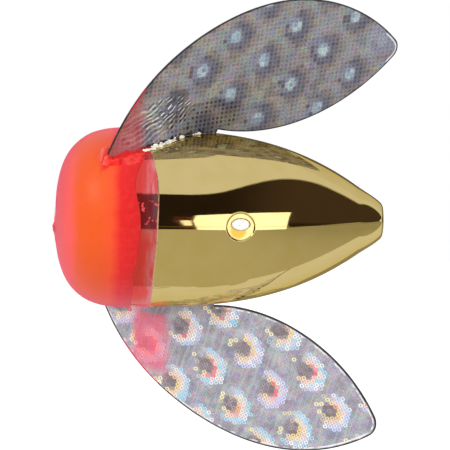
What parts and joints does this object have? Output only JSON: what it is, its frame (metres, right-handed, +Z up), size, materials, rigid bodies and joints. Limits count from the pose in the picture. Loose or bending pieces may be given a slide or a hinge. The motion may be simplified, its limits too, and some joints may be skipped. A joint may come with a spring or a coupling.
{
  "type": "winged drift spinner",
  "caption": "Buoyant teardrop spinner for a fishing leader: plated hollow shells on a line tube, a painted head and two pitched film wings that flex at their roots.",
  "frame": {"origin": "mouth of the line bore at the painted head, on the bore's axis", "axes": "+X along the line bore from the head to the tail, +Z up to the upper wing, -Y the side with the moulding port"},
  "size_m": [0.0402, 0.0209, 0.0523],
  "materials": {
    "plated_shell": "mirror-bright gold vacuum plating over moulded plastic",
    "tube": "natural extruded plastic",
    "natural_plastic": "bare moulded plastic",
    "film": "silver holographic dot film",
    "glue": "lumpy glue bead under red paint",
    "head_paint": "glossy dipped fluorescent orange to red paint",
    "red_lacquer": "clear red lacquer over the gold"
  },
  "bodies": {
    "body": {"upper_shell": "plated_shell", "lower_shell": "plated_shell", "line_tube": "tube", "port_plug": "natural_plastic", "upper_wing_root": "film", "lower_wing_root": "film", "upper_root_glue": "glue", "lower_root_glue": "glue", "head_dip": "head_paint", "lacquer_band": "red_lacquer"},
    "upper_wing": {"upper_wing_blade": "film"},
    "lower_wing": {"lower_wing_blade": "film"}
  },
  "joints": [
    {"name": "upper_wing_flex", "type": "hinge", "parent": "body", "child": "upper_wing", "pos_m": [0.0125, -0.00516, 0.00971], "axis": [0.8627, 0.4807, 0.1569], "range_deg": [-25, 25], "stiffness_Nm_per_rad": 0.0025},
    {"name": "lower_wing_flex", "type": "hinge", "parent": "body", "child": "lower_wing", "pos_m": [0.0125, 0.00516, -0.00971], "axis": [0.8627, -0.4807, -0.1569], "range_deg": [-25, 25], "stiffness_Nm_per_rad": 0.0025}
  ]
}
